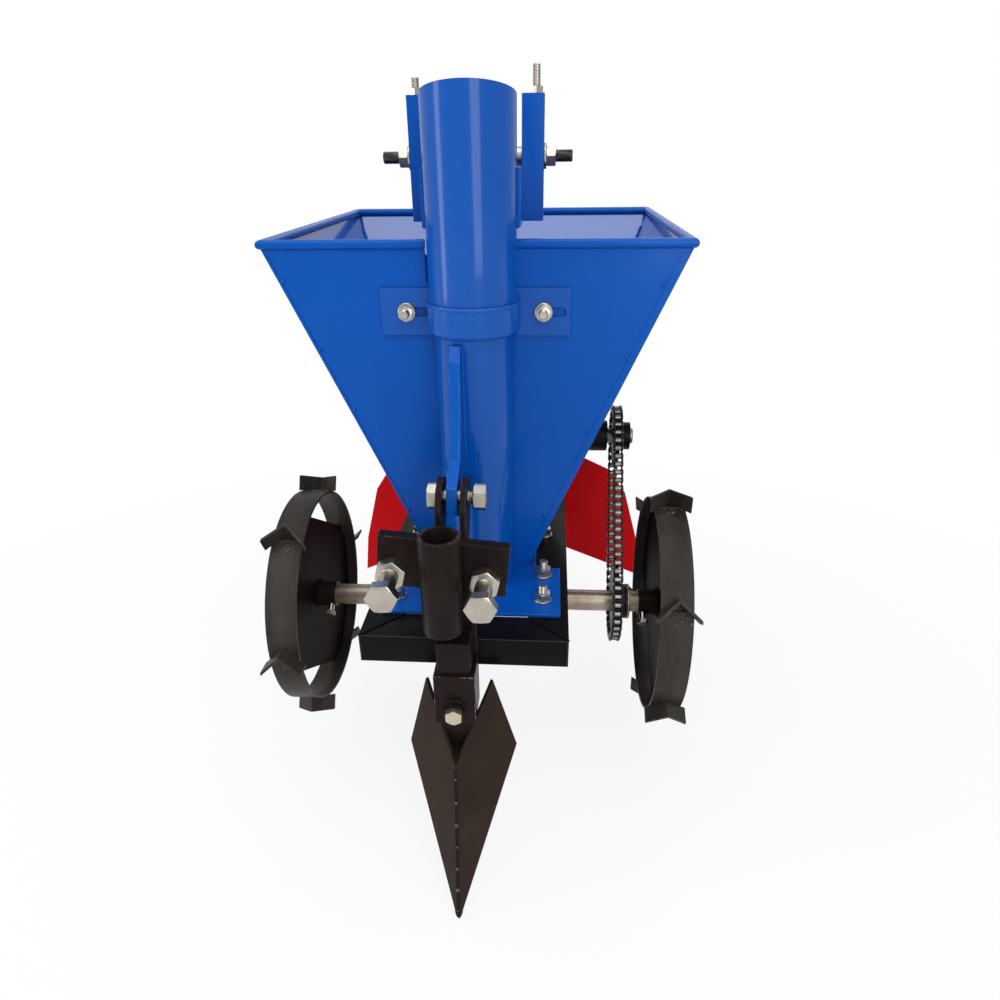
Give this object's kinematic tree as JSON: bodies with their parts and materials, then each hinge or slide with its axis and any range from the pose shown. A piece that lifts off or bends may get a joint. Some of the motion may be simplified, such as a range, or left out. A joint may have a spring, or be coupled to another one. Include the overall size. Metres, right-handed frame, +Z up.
{
  "type": "potato planter",
  "caption": "Single-row potato planter for a walking tractor: hopper, seed tube, chain-driven cup elevator, lugged wheels, furrow opener and covering plates on a hitch.",
  "frame": {"origin": "middle of the hitch sleeve's bore", "axes": "+Z up along the hitch sleeve's bore, +Y to the rear of the machine (away from the tractor), +X to the machine side that carries the chain"},
  "size_m": [0.754, 0.9983, 1.244],
  "materials": {
    "blue_paint": "glossy sprayed enamel",
    "red_paint": "glossy sprayed enamel",
    "black_paint": "semi-gloss black enamel",
    "dark_steel": "thin dark brown-black primer over mill-scaled steel",
    "bare_steel": "oiled bare steel",
    "zinc": "zinc-plated fasteners",
    "belt_rubber": "fabric-reinforced rubber belt"
  },
  "bodies": {
    "hitch": {"hitch_sleeve": "dark_steel", "hitch_cross_plate": "black_paint", "hitch_ears": "black_paint", "opener_stem": "dark_steel", "adjust_nuts": "zinc", "pivot_bolt": "zinc"},
    "adjuster_left": {"adjust_bolt_left": "zinc"},
    "adjuster_right": {"adjust_bolt_right": "zinc"},
    "opener": {"opener_socket": "dark_steel", "opener_set_bolt": "zinc", "opener_blade_left": "dark_steel", "opener_blade_right": "dark_steel"},
    "wheels": {"axle": "bare_steel", "drive_sprocket": "bare_steel", "wheel_band_left": "dark_steel", "wheel_band_right": "dark_steel", "wheel_lugs_left": "dark_steel", "wheel_lugs_right": "dark_steel", "wheel_discs": "dark_steel", "wheel_hubs": "dark_steel", "hub_bolts": "zinc"},
    "elevator_drive": {"elevator_shaft": "bare_steel", "driven_sprocket": "bare_steel", "lower_pulley": "bare_steel"},
    "takeup": {"upper_shaft": "bare_steel", "upper_spacers": "bare_steel", "upper_shaft_nuts": "zinc", "takeup_rods": "bare_steel"},
    "upper_roller": {"upper_pulley": "bare_steel"},
    "coverer_left": {"coverer_post_left": "black_paint", "coverer_plate_left": "red_paint"},
    "coverer_right": {"coverer_post_right": "black_paint", "coverer_plate_right": "red_paint"},
    "planter": {"axle_bearings": "black_paint", "base_plate": "blue_paint", "collar_bolts": "zinc", "collar_strap": "blue_paint", "coverer_sockets": "black_paint", "drive_chain": "bare_steel", "elevator_bearings": "black_paint", "elevator_belt": "belt_rubber", "elevator_cups": "bare_steel", "frame_bolts": "zinc", "frame_front": "black_paint", "frame_left": "black_paint", "frame_rear": "black_paint", "frame_right": "black_paint", "hopper_floor": "blue_paint", "hopper_front": "blue_paint", "hopper_rear": "blue_paint", "hopper_rim": "blue_paint", "hopper_side_left": "blue_paint", "hopper_side_right": "blue_paint", "seed_tube_lower": "blue_paint", "seed_tube_upper": "blue_paint", "takeup_bracket_left": "blue_paint", "takeup_bracket_right": "blue_paint", "takeup_nuts": "zinc", "tongue_plate": "blue_paint"}
  },
  "joints": [
    {"name": "hitch_pivot", "type": "hinge", "parent": "hitch", "child": "planter", "pos_m": [0.01, 0.097, 0.092], "axis": [1, 0, 0], "range_deg": [0, 12]},
    {"name": "adjust_left", "type": "slide", "parent": "hitch", "child": "adjuster_left", "axis": [0, 1, 0], "range_m": [-0.02, 0.02]},
    {"name": "adjust_right", "type": "slide", "parent": "hitch", "child": "adjuster_right", "axis": [0, 1, 0], "range_m": [-0.02, 0.02]},
    {"name": "opener_depth", "type": "slide", "parent": "hitch", "child": "opener", "axis": [0, 0, 1], "range_m": [-0.06, 0]},
    {"name": "wheel_spin", "type": "hinge", "parent": "planter", "child": "wheels", "pos_m": [0.032, 0.321, -0.23], "axis": [1, 0, 0], "continuous": true, "deforming": ["drive_chain"]},
    {"name": "elevator_spin", "type": "hinge", "parent": "planter", "child": "elevator_drive", "pos_m": [0.032, 0.51341, 0.03678], "axis": [1, 0, 0], "continuous": true},
    {"name": "belt_takeup", "type": "slide", "parent": "planter", "child": "takeup", "axis": [0, 0, 1], "range_m": [-0.0115, 0.0215], "deforming": ["elevator_belt", "elevator_cups"]},
    {"name": "upper_roller_spin", "type": "hinge", "parent": "takeup", "child": "upper_roller", "pos_m": [0.032, 0.367, 0.536], "axis": [1, 0, 0], "continuous": true},
    {"name": "coverer_left_height", "type": "slide", "parent": "planter", "child": "coverer_left", "axis": [0, 0, 1], "range_m": [-0.04, 0.03]},
    {"name": "coverer_right_height", "type": "slide", "parent": "planter", "child": "coverer_right", "axis": [0, 0, 1], "range_m": [-0.04, 0.03]}
  ],
  "couplings": [
    {"joint": "elevator_spin", "follows": "wheel_spin", "ratio": 1.3333},
    {"joint": "upper_roller_spin", "follows": "wheel_spin", "ratio": 1.3333}
  ]
}
